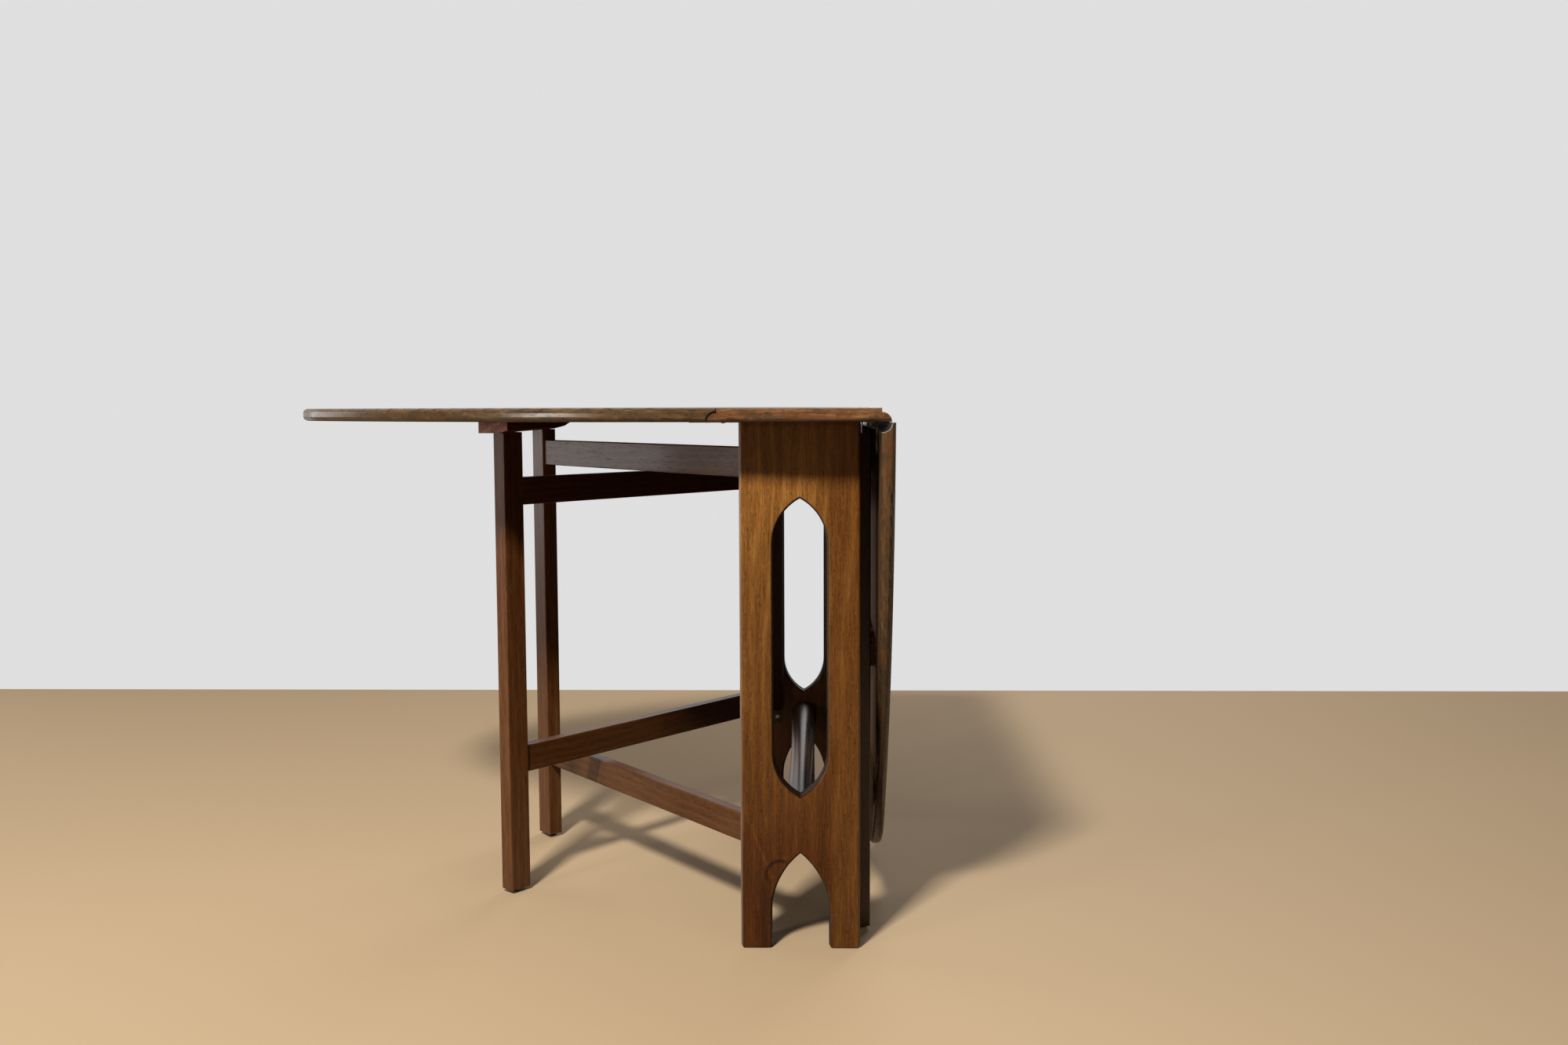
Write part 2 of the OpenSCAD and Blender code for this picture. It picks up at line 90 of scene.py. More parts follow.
# Lamps: name, place, the point that each is aimed at, size in metres and power in watts
LAMPS = (
    ("Key", (-0.99, -2.44, 2.97), (0.0, -0.1, 0.5), 0.4, 160),
    ("Side", (-2.2, -2.06, 0.8), (-0.33, -0.38, 0.72), 0.35, 15),
    ("Right", (2.3, -2.6, 1.9), (0.0, 0.0, 0.4), 1.2, 4),
    ("Window", (-3.2, 0.75, 1.0), (-0.2, 0.0, 0.5), 1.2, 14),
    ("Back", (1.0, 3.0, 2.6), (0.0, 0.0, 0.4), 2.0, 50),
)
# The floor's reach to each side and its front and back, and the share of its colour that lights the table
FLOOR_SIDE, FLOOR_FRONT, FLOOR_BACK = 4.0, -4.0, 1.35
FLOOR_BOUNCE = 0.22


def colour(red, green, blue):
    return (red, green, blue, 1.0)


# Colours that lie over a stain or a metal, among them painted shade, a painted highlight and a painted sheen,
# and the light all round
RED_PATCH = colour(0.13, 0.042, 0.013)
BROWN_PATCH = colour(0.095, 0.048, 0.018)
OLIVE_PATCH = colour(0.045, 0.032, 0.017)
# Painted shade: the dark line of the left joint's gap
JOINT_PAINTED_SHADE = colour(0.012, 0.007, 0.004)
# Painted highlight: the pale grey cove of the hanging leaf
COVE_PAINTED_HIGHLIGHT = colour(0.40, 0.37, 0.33)
# Painted sheen: the pale grey strip down an end panel's left arris
ARRIS_PAINTED_SHEEN = colour(0.30, 0.25, 0.20)
# Painted shade: the near-black walls of the panels' openings
OPENING_PAINTED_SHADE = colour(0.012, 0.005, 0.0025)
BRASS_TARNISH = colour(0.16, 0.09, 0.04)
STEEL_TARNISH = colour(0.16, 0.14, 0.13)
BLACK_STEEL = colour(0.05, 0.045, 0.04)
BLACK_TARNISH = colour(0.03, 0.022, 0.018)
PAD_DUST = colour(0.05, 0.043, 0.036)
SURROUNDING_LIGHT = colour(0.045, 0.045, 0.05)


# Nodes and shader maths

def feed(tree, socket, item):
    """Sets a socket to a plain value, or links it to another socket."""
    source = item.socket if isinstance(item, Value) else item
    if isinstance(source, bpy.types.NodeSocket):
        tree.links.new(source, socket)
    else:
        socket.default_value = item


def add_node(tree, kind, settings=None, **sockets):
    """Adds a node: its settings are set first, then the values or links of its sockets."""
    node = tree.nodes.new(kind)
    for key, value in (settings or {}).items():
        if key == "stops":
            ramp = node.color_ramp
            while len(ramp.elements) < len(value):
                ramp.elements.new(0.5)
            for element, (place, tone) in zip(ramp.elements, value):
                element.position, element.color = place, (*tone, 1)
        else:
            setattr(node, key, value)
    for name, value in sockets.items():
        matching = [s for s in node.inputs if s.name.replace(" ", "_") == name and s.enabled]
        for socket, item in zip(matching, value if isinstance(value, list) else [value]):
            feed(tree, socket, item)
    return node


class Value:
    """A number socket that can be used in a Python expression."""

    def __init__(self, tree, socket):
        self.tree, self.socket = tree, socket

    def combine(self, operation, first, second=None):
        """Adds a Math node."""
        node = self.tree.nodes.new("ShaderNodeMath")
        node.operation = operation
        for socket, item in zip(node.inputs, (first, second)):
            if item is not None:
                feed(self.tree, socket, item)
        return Value(self.tree, node.outputs[0])

    def __add__(self, other):
        return self.combine("ADD", self, other)

    def __radd__(self, other):
        return self.combine("ADD", other, self)

    def __sub__(self, other):
        return self.combine("SUBTRACT", self, other)

    def __rsub__(self, other):
        return self.combine("SUBTRACT", other, self)

    def __mul__(self, other):
        return self.combine("MULTIPLY", self, other)

    def __rmul__(self, other):
        return self.combine("MULTIPLY", other, self)

    def __truediv__(self, other):
        return self.combine("DIVIDE", self, other)

    def __pow__(self, other):
        return self.combine("POWER", self, other)

    def __abs__(self):
        return self.combine("ABSOLUTE", self)

    def sine(self):
        return self.combine("SINE", self)

    def root(self):
        return self.combine("SQRT", self)

    def sign(self):
        return self.combine("SIGN", self)

    def positive(self):
        """1 over 0, and 0 elsewhere."""
        return self.combine("GREATER_THAN", self, 0.0)

    def above(self, other):
        """The greater of the two."""
        return self.combine("MAXIMUM", self, other)


class Finish:
    """A material whose nodes are added one call at a time."""

    def __init__(self, name, tone):
        self.material = bpy.data.materials.new(name)
        self.material.use_nodes = True
        self.material.diffuse_color = (*tone, 1)
        self.tree = self.material.node_tree
        self.shader = self.tree.nodes["Principled BSDF"]

    def node(self, kind, settings=None, **sockets):
        return add_node(self.tree, kind, settings, **sockets)

    def value(self, socket):
        return Value(self.tree, socket)

    def parts(self, vector):
        """The three numbers of a vector."""
        return [self.value(socket) for socket in self.node("ShaderNodeSeparateXYZ", Vector=vector).outputs]

    def joined(self, x, y, z):
        """A vector of three numbers."""
        return self.node("ShaderNodeCombineXYZ", X=x, Y=y, Z=z).outputs["Vector"]

    def noise(self, place, scale=1.0, detail=2.0, roughness=0.5):
        node = self.node("ShaderNodeTexNoise", {"normalize": True}, Vector=place, Scale=scale,
                         Detail=detail, Roughness=roughness)
        return self.value(node.outputs["Fac"])

    def soft_step(self, value, low, high):
        """0 below low, 1 above high, smooth between them."""
        node = self.node("ShaderNodeMapRange", {"interpolation_type": "SMOOTHSTEP"}, Value=value,
                         From_Min=low, From_Max=high)
        return self.value(node.outputs["Result"])

    def fade(self, value, low, high):
        """1 below low, 0 above high, smooth between them."""
        return 1.0 - self.soft_step(value, low, high)

    def mix(self, factor, first, second, blend="MIX"):
        node = self.node("ShaderNodeMix", {"data_type": "RGBA", "blend_type": blend}, Factor=factor,
                         A=first, B=second)
        return [s for s in node.outputs if s.enabled][0]

    def tint(self, factor, shade, tone):
        """Multiplies a colour by another, as far as the factor says."""
        return self.mix(factor, shade, self.mix(1.0, shade, colour(*tone), "MULTIPLY"))

    def rays(self):
        """1 for a ray straight from the camera, and 1 for one that was mirrored or went through glass."""
        path = self.node("ShaderNodeLightPath")
        camera, glossy, through = (self.value(path.outputs[f"Is {kind} Ray"])
                                   for kind in ("Camera", "Glossy", "Transmission"))
        return camera, glossy.above(through)

    def set(self, **sockets):
        for name, item in sockets.items():
            feed(self.tree, self.shader.inputs[name.replace("_", " ")], item)
        return self.material


class Surround(Finish):
    """The light all round, made in the same way as a material."""

    def __init__(self, name):
        self.material = bpy.data.worlds.new(name)
        self.material.use_nodes = True
        self.tree = self.material.node_tree
        self.shader = self.tree.nodes["Background"]


# Finishes

def drawn_out(finish, grain, stretch, **settings):
    """A noise that is drawn out along the grain. grain is a place along it and two across it."""
    along, across, deep = grain
    fine_along, fine_across = stretch
    place = finish.joined(along * fine_along, across * fine_across, deep * fine_across)
    return finish.noise(place, **settings)


def rounded_normal(finish, coordinates, hanging):
    """The normal of the board or a leaf, worked out from the arcs of the oval so that its rim is smooth,
    how near a point is to the left joint, and whether it is on a cove."""
    x, y, z = finish.parts(coordinates.outputs["Object"])
    if hanging:
        # The hanging leaf is laid level, as a turn about its hinge would
        x, z = HINGE_X + UNDER_Z - z, x + (UNDER_Z - HINGE_X)
    beside = abs(x)
    sideways = abs(y) + SIDE_SHIFT

    # Where the rim rounds over, the normal points away from a circle inside the arc of the oval
    end = (beside * SIDE_SHIFT - sideways * END_SHIFT).positive()
    out_x = beside - end * END_SHIFT
    out_y = sideways - end * SIDE_SHIFT
    reach = (out_x * out_x + out_y * out_y).root()
    out = (reach - (SIDE_R - RIM_R) + end * (SIDE_R - END_R)).above(0.0)
    up = (z - (TOP_Z - RIM_R)).above(0.0) - (UNDER_Z + RIM_R - z).above(0.0)
    normal_x = x.sign() * out_x / reach * out
    normal_y = y.sign() * out_y / reach * out
    worked = finish.joined(up, normal_y, 0.0 - normal_x) if hanging else finish.joined(normal_x, normal_y, up)

    # It holds on a leaf past its cove and round the two ends of the board. Elsewhere the mesh's own stays
    true_y = finish.parts(finish.node("ShaderNodeNewGeometry").outputs["True Normal"])[1]
    facing_end = finish.soft_step(abs(true_y), 0.02, 0.06)
    on_leaf = finish.soft_step(beside, HINGE_X + COVE_R + 0.0005, HINGE_X + COVE_R + 0.001)
    rim = on_leaf.above(facing_end * finish.soft_step(out, 0.0, 0.0001))
    both = finish.mix(rim, coordinates.outputs["Normal"], worked)
    settings = {"vector_type": "NORMAL", "convert_from": "OBJECT", "convert_to": "WORLD"}
    turned = finish.node("ShaderNodeVectorTransform", settings, Vector=both)

    # The joint's dark line is painted shade of its gap and reaches a little past the gap on both sides. The
    # cove, which gets a painted highlight, lies inside its radius
    aside, over = beside - HINGE_X, z - UNDER_Z
    from_hinge = (aside * aside + over * over).root()
    joint = (finish.soft_step(from_hinge, OVOLO_R - 0.0019, OVOLO_R - 0.0007)
             * finish.fade(from_hinge, COVE_R + 0.0005, COVE_R + 0.0017))
    joint = joint * finish.soft_step(beside, HINGE_X - 0.0015, HINGE_X - 0.0005)
    cove = finish.fade(from_hinge, COVE_R + 0.0003, COVE_R + 0.001)
    return turned.outputs["Vector"], joint * finish.soft_step(0.0 - x, 0.0, 0.05), cove


def moulded_edge(finish, coordinates, shade, tone, patch, hanging):
    """The edge of the board or a leaf: tinted and patchy, with painted shade in the left joint and a painted
    highlight in the cove of the hanging leaf. The underside is duller and the edge glossier. The rim's smooth
    normal comes with them."""
    outwards = finish.parts(coordinates.outputs["Normal"])[0 if hanging else 2]
    upright = finish.fade(abs(outwards), 0.55, 0.95)
    patches = finish.noise(coordinates.outputs["Object"], scale=34.0, detail=5.0, roughness=0.7)
    olive = finish.noise(coordinates.outputs["Object"], scale=47.0, detail=4.0, roughness=0.65)
    normal, joint, cove = rounded_normal(finish, coordinates, hanging)
    shade = finish.tint(upright, shade, tone)
    shade = finish.mix(upright * finish.soft_step(patches, 0.44, 0.62) * 0.7, shade, patch)
    shade = finish.mix(upright * finish.soft_step(olive, 0.5, 0.64) * 0.6, shade, OLIVE_PATCH)
    # Painted shade: the joint's gap darkened on the mouldings beside it
    shade = finish.mix(upright * joint * 0.9, shade, JOINT_PAINTED_SHADE)
    # Painted highlight: the cove of the hanging leaf made pale grey
    if hanging:
        shade = finish.mix(cove * 0.7, shade, COVE_PAINTED_HIGHLIGHT)
    dull = finish.soft_step(0.0 - outwards, 0.8, 0.95) * 0.5 - upright * 0.12
    return shade, dull, normal


def knot(finish, shade, x, z, sway):
    """The knot beside the arch: a pale slant above it, a dark hook round it and a dark trail to the foot."""
    slant = abs(x + 0.069 - (0.175 - z) * 0.4 - sway * 0.012)
    pale = finish.fade(slant, 0.0004, 0.003) * finish.soft_step(z, 0.09, 0.11)
    shade = finish.tint(pale * finish.fade(z, 0.16, 0.19), shade, (1.45, 1.4, 1.35))
    across, up = x - KNOT_X, z - KNOT_Z
    hook = abs((across * across + up * up).root() + sway * 0.006 - KNOT_R)
    dark = finish.fade(hook, 0.0006, 0.0042) * finish.soft_step(z, 0.088, 0.1)
    shade = finish.tint(dark * finish.fade(x, -0.024, -0.014) * 0.95, shade, (0.3, 0.27, 0.35))
    trail = finish.fade(abs(x + sway * 0.012 + 0.0485), 0.001, 0.009)
    return finish.tint(trail * finish.fade(z, 0.08, 0.105) * 0.75, shade, (0.4, 0.4, 0.5))


def stained_panel(finish, coordinates, shade, panel):
    """The stain of an end panel, with painted light and shade laid on it: painted light makes its head golden
    down to the board's shadow, and painted shade makes its right side darker and redder. Towards its feet and
    its middle it is darker and redder, partly stain and partly painted shade. A painted sheen makes it pale
    along one arris, and painted shade makes it nearly black round its openings. The front one has a knot beside
    its arch."""
    facing_x, facing_y, _ = finish.parts(coordinates.outputs["Normal"])
    x, _, z = finish.parts(coordinates.outputs["Object"])
    sway = finish.noise(coordinates.outputs["Object"], scale=9.0, detail=2.0) - 0.5

    # Painted light makes the head golden down to the line of the board's shadow, and leaves the band above it
    # darker as a painted shadow. Painted shade makes the right side redder and darker. The feet are darkest at
    # the left, partly stain and partly painted shade
    right = finish.soft_step(x + sway * 0.02, 0.0, 0.045)
    head = finish.soft_step(z + sway * 0.1, 0.42, 0.66) * finish.fade(z, 0.632, 0.648)
    shade = finish.tint(head * (1.0 - right), shade, (1.4, 1.45, 1.5))
    shade = finish.tint(right, shade, (0.82, 0.76, 0.7))
    low = finish.fade(z + sway * 0.16, 0.05, 0.44)
    shade = finish.tint(low * (1.0 - finish.soft_step(x, 0.03, 0.055) * 0.75), shade, (0.46, 0.33, 0.32))
    if panel == "front":
        shade = knot(finish, shade, x, z, sway)
    # Painted sheen: the left arris made pale grey
    arris = finish.soft_step(0.0 - facing_x, 0.2, 0.8)
    shade = finish.mix(arris * 0.45, shade, ARRIS_PAINTED_SHEEN)

    # The rounded edge of an opening is glossier than the face, and the flat wall inside it is dull. Painted
    # shade makes the wall of an opening nearly black.
    outwards = abs(facing_y)
    near_middle = finish.fade(abs(x), 0.046, 0.052)
    wall = finish.fade(outwards, 0.8, 0.992) * near_middle
    flat = finish.fade(outwards, 0.05, 0.25) * near_middle
    return finish.mix(wall * 0.88, shade, OPENING_PAINTED_SHADE), flat * 0.6 - wall * 0.15


def wood(name, tones, turn, origin=(0, 0, 0), heart=(0.09, 0.05), ring=0.010, figure=0.22, streak=0.6,
         streak_scale=(22.0, 330.0), pores=0.65, dash_scale=(75.0, 950.0), flecks=0.0, gloss=0.33,
         specular=0.4, relief=0.1, panel=None, edge=None, patch=None, hanging=False, ends=None):
    """Stained and lacquered wood, with growth rings, drawn-out streaks, fibres, pores and ray flecks.

    tones are its dark, middle and light colours. turn lays the grain along one axis, origin moves the pattern,
    and heart is where the growth rings, ring apart, have their middle across the grain. figure, streak, pores
    and flecks say how strong each part of the grain is, and streak_scale and dash_scale how fine the streaks
    and the pores are, along the grain and across it. gloss is the lacquer's roughness. panel is "front" or
    "back" on an end panel, which then gets painted light and shade. edge tints the edge of the board or a leaf,
    with painted shade in the left joint, patch is the colour of the patches on it, and hanging says that the
    leaf hangs, which gives its cove a painted highlight. ends makes the two ends of a batten much lighter, as
    painted light."""
    dark, middle, light = tones
    finish = Finish(name, middle)
    coordinates = finish.node("ShaderNodeTexCoord")
    turned = finish.node("ShaderNodeMapping", {"vector_type": "POINT"}, Vector=coordinates.outputs["Object"],
                         Location=origin, Rotation=turn)
    grain = finish.parts(turned.outputs["Vector"])

    # Growth rings run round a heart that lies outside the piece, and wander along the trunk
    wander = drawn_out(finish, grain, WANDER, detail=3.0, roughness=0.55)
    side, depth = grain[1] - heart[0], grain[2] - heart[1]
    radius = (side * side + depth * depth).root() + wander * RING_WANDER
    rings = (radius * (2 * math.pi / ring)).sine() * 0.5 + 0.5
    late = rings ** 2.2

    # Broad bands, golden streaks and fine fibres
    broad = drawn_out(finish, grain, BROAD, detail=2.5)
    streaks = drawn_out(finish, grain, streak_scale, detail=3.0, roughness=0.62)
    fibres = drawn_out(finish, grain, FIBRES, detail=2.0, roughness=0.65)
    weights = figure * 1.45 + streak + 0.34
    body = late * (figure * 0.45) + broad * figure + streaks * streak + fibres * 0.34 + (0.5 - weights / 2)
    tone = finish.node("ShaderNodeValToRGB", {"stops": [(0.28, dark), (0.5, middle), (0.72, light)]},
                       Fac=body)
    shade = tone.outputs["Color"]

    # Pores are short dark dashes, denser in the early wood
    dash = drawn_out(finish, grain, dash_scale, detail=1.0)
    pore = finish.soft_step(dash, 0.58, 0.7) * (1.0 - late * 0.5)
    shade = finish.mix(pore * pores, shade, colour(*(part * 0.3 for part in dark)))
    if flecks:
        spot = drawn_out(finish, grain, FLECKS, detail=1.0)
        fleck = finish.soft_step(spot, 0.63, 0.74) * flecks
        shade = finish.mix(fleck, shade, colour(light[0] * 1.35, light[1] * 1.25, light[2] * 1.1))
    if panel:
        shade, dull = stained_panel(finish, coordinates, shade, panel)
    if edge:
        shade, dull, normal = moulded_edge(finish, coordinates, shade, edge, patch, hanging)
    # Painted light: the ends of a batten, which lie in the leaf's shadow, are made much lighter
    if ends:
        facing_y = finish.parts(coordinates.outputs["Normal"])[1]
        shade = finish.tint(finish.soft_step(abs(facing_y), 0.5, 0.9), shade, ends)

    smear = drawn_out(finish, grain, SMEAR, detail=3.0)
    sheen = smear * 0.12 + pore * (pores * 0.15) + (gloss - 0.06)
    if panel or edge:
        sheen = sheen + dull
    height = fibres * 0.35 - pore * 0.8 + smear * 0.2
    bump = finish.node("ShaderNodeBump", Strength=relief, Distance=0.0005, Height=height)
    if edge:
        feed(finish.tree, bump.inputs["Normal"], normal)
    return finish.set(Base_Color=shade, Roughness=sheen, Normal=bump.outputs["Normal"],
                      Specular_IOR_Level=specular)


def metal(name, shade, tarnish, gloss, scale):
    """Metal that has dulled in patches, with a fine pitted surface. scale is how fine the patches are."""
    finish = Finish(name, shade[:3])
    place = finish.node("ShaderNodeTexCoord").outputs["Object"]
    patches = finish.noise(place, scale=scale, detail=4.0, roughness=0.6)
    dulled = finish.soft_step(patches, 0.38, 0.66)
    fine = finish.noise(place, scale=scale * 14, detail=2.0)
    bump = finish.node("ShaderNodeBump", Strength=0.15, Distance=0.0003, Height=fine)
    return finish.set(Base_Color=finish.mix(dulled, shade, tarnish), Metallic=1.0 - dulled * 0.35,
                      Roughness=dulled * 0.22 + fine * 0.1 + gloss, Normal=bump.outputs["Normal"])


def moulded(name, shade, dust):
    """Moulded pad that has picked up dust."""
    finish = Finish(name, shade[:3])
    place = finish.node("ShaderNodeTexCoord").outputs["Object"]
    grime = finish.soft_step(finish.noise(place, scale=260.0, detail=3.0), 0.45, 0.7)
    return finish.set(Base_Color=finish.mix(grime, shade, dust), Roughness=grime * 0.25 + 0.45)


def cover(node_name, material):
    """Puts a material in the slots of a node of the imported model."""
    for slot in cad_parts[node_name].material_slots:
        slot.material = material


# Pieces

def add_object(name, data):
    """Puts a mesh, a lamp or a camera in the scene."""
    made = bpy.data.objects.new(name, data)
    bpy.context.scene.collection.objects.link(made)
    return made


def add_piece(name, data, body):
    """Puts a mesh in the scene as a piece of the table, which rides on a body."""
    piece = add_object(name, data)
    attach(piece, body)
    return piece


def mesh_piece(name, body, material, build):
    """Makes a piece from a bmesh that build fills in, with its faces outwards."""
    shape = bmesh.new()
    build(shape)
    bmesh.ops.remove_doubles(shape, verts=shape.verts, dist=1e-6)
    bmesh.ops.recalc_face_normals(shape, faces=shape.faces)
    data = bpy.data.meshes.new(name)
    shape.to_mesh(data)
    shape.free()
    for face in data.polygons:
        face.use_smooth = True
    data.set_sharp_from_angle(angle=math.radians(35))
    data.materials.append(material)
    return add_piece(name, data, body)


def turned_shape(shape, profile, centre, sides=40):
    """Adds a solid of revolution about an upright axis. profile is a list of (radius, height)."""
    turns = [2 * math.pi * i / sides for i in range(sides)]
    rings = []
    for radius, height in profile:
        corners = [(centre[0] + radius * math.cos(turn), centre[1] + radius * math.sin(turn), height)
                   for turn in turns] if radius else [(*centre, height)]
        rings.append([shape.verts.new(corner) for corner in corners])
    for lower, upper in zip(rings, rings[1:]):
        for i in range(sides):
            corners = [lower[i % len(lower)], lower[(i + 1) % len(lower)],
                       upper[(i + 1) % len(upper)], upper[i % len(upper)]]
            shape.faces.new(list(dict.fromkeys(corners)))


def screw_tree():
    """A countersunk slotted screw head on each point, facing along the point's own direction."""
    tree = bpy.data.node_groups.new("Countersunk screws", "GeometryNodeTree")
    face = tree.interface
    face.new_socket("Points", in_out="INPUT", socket_type="NodeSocketGeometry")
    sizes = (("Head radius", 0.0035), ("Head rise", 0.0002), ("Head depth", 0.0016), ("Slot width", 0.0009),
             ("Slot depth", 0.0007))
    for name, default in sizes:
        face.new_socket(name, in_out="INPUT", socket_type="NodeSocketFloat").default_value = default
    face.new_socket("Seed", in_out="INPUT", socket_type="NodeSocketInt").default_value = 7
    face.new_socket("Metal", in_out="INPUT", socket_type="NodeSocketMaterial")
    face.new_socket("Screws", in_out="OUTPUT", socket_type="NodeSocketGeometry")

    def add(kind, settings=None, **sockets):
        return add_node(tree, kind, settings, **sockets)

    given = add("NodeGroupInput").outputs
    head_radius, head_rise, head_depth, slot_width, slot_depth = (Value(tree, given[name]) for name, _ in sizes)
    cone = add("GeometryNodeMeshCone", {"fill_type": "NGON"}, Vertices=28, Radius_Top=head_radius,
               Radius_Bottom=head_radius * 0.5, Depth=head_rise + head_depth)
    lowered = add("GeometryNodeTransform", Geometry=cone.outputs["Mesh"],
                  Translation=add("ShaderNodeCombineXYZ", Z=head_depth * -1.0).outputs[0])
    blade = add("GeometryNodeMeshCube", Size=add("ShaderNodeCombineXYZ", X=head_radius * 3.0, Y=slot_width,
                                                 Z=slot_depth * 2.0).outputs[0])
    raised = add("GeometryNodeTransform", Geometry=blade.outputs["Mesh"],
                 Translation=add("ShaderNodeCombineXYZ", Z=head_rise).outputs[0])
    slotted = add("GeometryNodeMeshBoolean", {"operation": "DIFFERENCE"}, Mesh_1=lowered.outputs[0],
                  Mesh_2=raised.outputs[0])
    facing = add("GeometryNodeInputNamedAttribute", {"data_type": "FLOAT_VECTOR"}, Name="facing")
    aligned = add("FunctionNodeAlignRotationToVector", {"axis": "Z"}, Vector=facing.outputs["Attribute"])
    spin = add("FunctionNodeRandomValue", {"data_type": "FLOAT"}, Min=0.0, Max=math.pi, Seed=given["Seed"])
    quarter = add("FunctionNodeAxisAngleToRotation", Axis=(0.0, 0.0, 1.0),
                  Angle=[s for s in spin.outputs if s.enabled][0])
    turned = add("FunctionNodeRotateRotation", {"rotation_space": "LOCAL"}, Rotation=aligned.outputs[0],
                 Rotate_By=quarter.outputs[0])
    placed = add("GeometryNodeInstanceOnPoints", Points=given["Points"], Instance=slotted.outputs["Mesh"],
                 Rotation=turned.outputs[0])
    real = add("GeometryNodeRealizeInstances", Geometry=placed.outputs[0])
    painted = add("GeometryNodeSetMaterial", Geometry=real.outputs[0], Material=given["Metal"])
    tree.links.new(painted.outputs[0], add("NodeGroupOutput").inputs[0])
    return tree


def screws(name, body, places, material, sizes, seed):
    """Sets screws at places, a list of (point, direction), as one plain mesh on a body."""
    data = bpy.data.meshes.new(name + "_points")
    data.from_pydata([point for point, _ in places], [], [])
    facing = data.attributes.new("facing", "FLOAT_VECTOR", "POINT")
    for item, (_, direction) in zip(facing.data, places):
        item.vector = direction
    holder = add_object(name + "_points", data)
    tree = bpy.data.node_groups.get("Countersunk screws") or screw_tree()
    modifier = holder.modifiers.new("Screws", "NODES")
    modifier.node_group = tree
    inputs = {item.name: item.identifier for item in tree.interface.items_tree if item.in_out == "INPUT"}
    for key, value in {**sizes, "Seed": seed, "Metal": material}.items():
        modifier[inputs[key]] = value
    graph = bpy.context.evaluated_depsgraph_get()
    made = bpy.data.meshes.new_from_object(holder.evaluated_get(graph), depsgraph=graph)
    bpy.data.objects.remove(holder)
    made.name = name
    carried = made.attributes.get("facing")
    if carried:
        made.attributes.remove(carried)
    return add_piece(name, made, body)


def flap_screws(side, flap):
    """The screws in one side's short or long flaps. The long flaps on the hanging leaf stand upright."""
    sign = -1 if side == "left" else 1
    pin = Vector((sign * HINGE_X, 0, UNDER_Z))
    places = []
    for middle in HINGE_MIDDLES:
        for reach, spread in FLAP_SCREWS:
            if flap == "long":
                reach += LONG_FLAP_SHIFT
            out = reach * (sign if flap == "long" else -sign)
            if side == "right" and flap == "long":
                places.append(((pin.x - FLAP_T, middle + spread, pin.z - reach), (-1, 0, 0)))
            else:
                places.append(((pin.x + out, middle + spread, pin.z - FLAP_T), (0, 0, -1)))
    return places


# Settings that a user would change

class TableWoods(bpy.types.PropertyGroup):
    """Colours of the stained woods"""
    panel_dark: bpy.props.FloatVectorProperty(
        name="Panel, dark", description="Darkest streaks of the end panels", subtype="COLOR", size=3,
        default=(0.095, 0.033, 0.0070))
    panel_middle: bpy.props.FloatVectorProperty(
        name="Panel", description="Main colour of the end panels", subtype="COLOR", size=3,
        default=(0.170, 0.064, 0.0125))
    panel_light: bpy.props.FloatVectorProperty(
        name="Panel, light", description="Golden streaks of the end panels", subtype="COLOR", size=3,
        default=(0.275, 0.118, 0.026))
    gate_dark: bpy.props.FloatVectorProperty(
        name="Gates, dark", description="Darkest streaks of the gates", subtype="COLOR", size=3,
        default=(0.056, 0.016, 0.0040))
    gate_middle: bpy.props.FloatVectorProperty(
        name="Gates", description="Main colour of the gates", subtype="COLOR", size=3,
        default=(0.112, 0.037, 0.0088))
    gate_light: bpy.props.FloatVectorProperty(
        name="Gates, light", description="Light streaks of the gates", subtype="COLOR", size=3,
        default=(0.180, 0.065, 0.0175))
    top_dark: bpy.props.FloatVectorProperty(
        name="Top, dark", description="Darkest streaks of the board and leaves", subtype="COLOR", size=3,
        default=(0.036, 0.018, 0.0070))
    top_middle: bpy.props.FloatVectorProperty(
        name="Top", description="Main colour of the board and leaves", subtype="COLOR", size=3,
        default=(0.098, 0.047, 0.0170))
    top_light: bpy.props.FloatVectorProperty(
        name="Top, light", description="Light streaks of the board and leaves", subtype="COLOR", size=3,
        default=(0.185, 0.094, 0.034))
    gloss: bpy.props.FloatProperty(
        name="Roughness", description="Roughness of the lacquer", subtype="FACTOR", min=0.1, max=0.8,
        default=0.33)


class TableHardware(bpy.types.PropertyGroup):
    """Colours and sizes of hinges, screws and pads"""
    brass: bpy.props.FloatVectorProperty(
        name="Brass", description="Colour of the hinges", subtype="COLOR", size=3, default=(0.52, 0.36, 0.16))
    steel: bpy.props.FloatVectorProperty(
        name="Steel", description="Colour of the pivots and screws", subtype="COLOR", size=3,
        default=(0.42, 0.42, 0.43))
    pad: bpy.props.FloatVectorProperty(
        name="Pads", description="Colour of the pads under legs and panels", subtype="COLOR", size=3,
        default=(0.018, 0.014, 0.012))
    hinge_screw: bpy.props.FloatProperty(
        name="Hinge screw", description="Head radius of the screws in the hinges", unit="LENGTH",
        min=0.002, max=0.005, default=0.0032)
    wood_screw: bpy.props.FloatProperty(
        name="Wood screw", description="Head radius of the screws in the battens and bearers", unit="LENGTH",
        min=0.002, max=0.006, default=0.0042)


